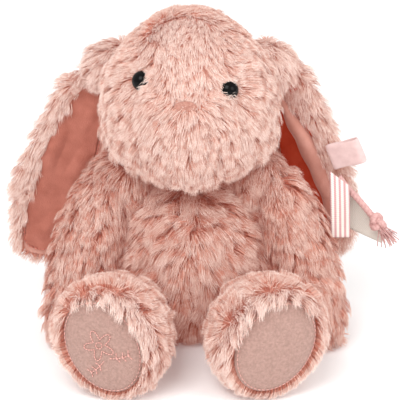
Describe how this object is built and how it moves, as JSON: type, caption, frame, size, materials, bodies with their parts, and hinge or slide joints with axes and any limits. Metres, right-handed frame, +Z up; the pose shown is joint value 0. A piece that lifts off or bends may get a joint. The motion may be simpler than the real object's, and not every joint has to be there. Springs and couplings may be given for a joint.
{
  "type": "stuffed bunny rabbit",
  "caption": "Sitting plush rabbit in shaggy pink fur with velour-lined lop ears, velour soles, bead eyes and ribbon trims on one ear.",
  "frame": {"origin": "middle of the flat seat panel, on the surface the toy sits on", "axes": "+Z up, the rabbit faces -Y, its own left side is at +X"},
  "size_m": [0.2325, 0.1898, 0.1979],
  "materials": {
    "fur": "matte",
    "lining": "matte",
    "velour": "matte",
    "eye": "gloss",
    "washer": "matte",
    "nose": "matte",
    "filling": "matte",
    "pouch": "matte",
    "pellets": "matte",
    "velvet": "matte",
    "ribbon": "satin",
    "label": "matte",
    "rope": "matte"
  },
  "bodies": {
    "torso": {"bean_pouch": "pouch", "pellets": "pellets", "seat_panel": "fur", "tail_cover": "fur", "tail_filling": "filling", "torso_back_left": "fur", "torso_back_right": "fur", "torso_filling": "filling", "torso_front_left": "fur", "torso_front_right": "fur"},
    "head": {"eye_left": "eye", "eye_right": "eye", "eye_washer_left": "washer", "eye_washer_right": "washer", "head_filling": "filling", "head_gusset": "fur", "head_side_left": "fur", "head_side_right": "fur", "nose": "nose"},
    "ear_left": {"ear_left_back": "fur", "ear_left_lining": "lining", "rope": "rope", "rope_knot": "rope", "rope_tassel": "rope", "velvet_tab": "velvet"},
    "ear_right": {"ear_right_back": "fur", "ear_right_lining": "lining"},
    "arm_left": {"arm_left_filling": "filling", "arm_left_inner": "fur", "arm_left_outer": "fur"},
    "arm_right": {"arm_right_filling": "filling", "arm_right_inner": "fur", "arm_right_outer": "fur"},
    "leg_left": {"leg_left_filling": "filling", "leg_left_inner": "fur", "leg_left_outer": "fur", "sole_left": "velour"},
    "leg_right": {"leg_right_filling": "filling", "leg_right_inner": "fur", "leg_right_outer": "fur", "sole_right": "velour"},
    "ribbon": {"striped_ribbon": "ribbon"},
    "label": {"woven_label": "label"}
  },
  "joints": [
    {"name": "head_nod", "type": "hinge", "parent": "torso", "child": "head", "pos_m": [0, -0.003, 0.1034], "axis": [1, 0, 0], "range_deg": [-8, 12], "stiffness_Nm_per_rad": 0.8},
    {"name": "ear_left_lift", "type": "hinge", "parent": "head", "child": "ear_left", "pos_m": [0.05, 0.013, 0.167], "axis": [0, -1, 0], "range_deg": [0, 70], "stiffness_Nm_per_rad": 0.002},
    {"name": "ear_right_lift", "type": "hinge", "parent": "head", "child": "ear_right", "pos_m": [-0.051, 0.013, 0.163], "axis": [0, 1, 0], "range_deg": [0, 70], "stiffness_Nm_per_rad": 0.002},
    {"name": "arm_left_raise", "type": "hinge", "parent": "torso", "child": "arm_left", "pos_m": [0.048, -0.012, 0.104], "axis": [-0.9397, -0.342, 0], "range_deg": [0, 80], "stiffness_Nm_per_rad": 0.01},
    {"name": "arm_right_raise", "type": "hinge", "parent": "torso", "child": "arm_right", "pos_m": [-0.047, -0.012, 0.104], "axis": [-0.9397, 0.342, 0], "range_deg": [0, 80], "stiffness_Nm_per_rad": 0.01},
    {"name": "leg_left_lift", "type": "hinge", "parent": "torso", "child": "leg_left", "pos_m": [0.0305, -0.04, 0.027], "axis": [-0.9684, -0.2494, 0], "range_deg": [-25, 28], "stiffness_Nm_per_rad": 0.05},
    {"name": "leg_right_lift", "type": "hinge", "parent": "torso", "child": "leg_right", "pos_m": [-0.0305, -0.04, 0.027], "axis": [-0.9684, 0.2494, 0], "range_deg": [-25, 28], "stiffness_Nm_per_rad": 0.05},
    {"name": "ribbon_swing", "type": "hinge", "parent": "ear_left", "child": "ribbon", "pos_m": [0.0885, -0.005, 0.0982], "axis": [-1, 0, 0], "range_deg": [0, 70], "stiffness_Nm_per_rad": 0.00005},
    {"name": "label_swing", "type": "hinge", "parent": "ear_left", "child": "label", "pos_m": [0.09, 0.0012, 0.077], "axis": [0, 1, 0], "range_deg": [-35, 20], "stiffness_Nm_per_rad": 0.0005}
  ]
}
